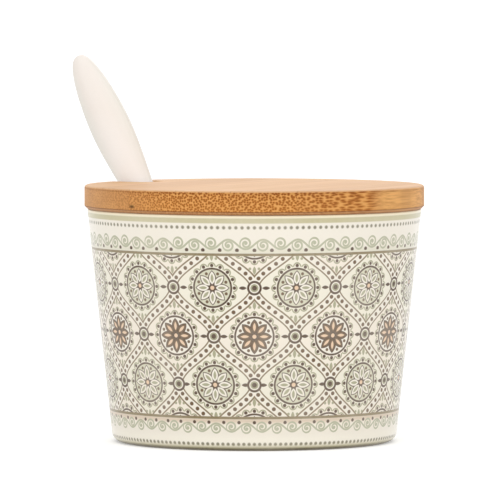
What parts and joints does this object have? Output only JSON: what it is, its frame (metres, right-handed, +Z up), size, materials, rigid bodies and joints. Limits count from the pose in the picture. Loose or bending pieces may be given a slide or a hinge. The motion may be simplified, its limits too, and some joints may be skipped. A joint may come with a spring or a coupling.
{
  "type": "honey pot",
  "caption": "Round tapered glazed ceramic honey pot with a lift-off bamboo lid, notched at the rim for the handle of a porcelain spoon that stands in the pot.",
  "frame": {"origin": "on the pot's axis, in the plane of the foot ring that it stands on", "axes": "+Z up along the pot's axis; -Y is the front, which the picture looks at; the spoon's notch is towards -X and +Y"},
  "size_m": [0.1045, 0.1, 0.113],
  "materials": {
    "pot_glaze": "glossy cream glaze with a printed band pattern in sage, brown and peach",
    "spoon_glaze": "glossy warm white glaze",
    "lid_bamboo": "sanded and oiled bamboo, flecked end grain at front and back",
    "plug_bamboo": "sanded bamboo, grain crossing the lid's"
  },
  "bodies": {
    "pot": {"pot": "pot_glaze"},
    "lid": {"lid_stave_1": "lid_bamboo", "lid_stave_2": "lid_bamboo", "lid_stave_3": "lid_bamboo", "lid_stave_4": "lid_bamboo", "lid_stave_5": "lid_bamboo", "lid_stave_6": "lid_bamboo", "plug_stave_1": "plug_bamboo", "plug_stave_2": "plug_bamboo", "plug_stave_3": "plug_bamboo", "plug_stave_4": "plug_bamboo", "plug_stave_5": "plug_bamboo"},
    "spoon": {"spoon": "spoon_glaze"}
  },
  "joints": [
    {"name": "lid_lift", "type": "slide", "parent": "pot", "child": "lid", "axis": [0, 0, 1], "range_m": [0, 0.055]},
    {"name": "spoon_lift", "type": "slide", "parent": "pot", "child": "spoon", "axis": [-0.4081, 0.3166, 0.8563], "range_m": [0, 0.031]}
  ]
}
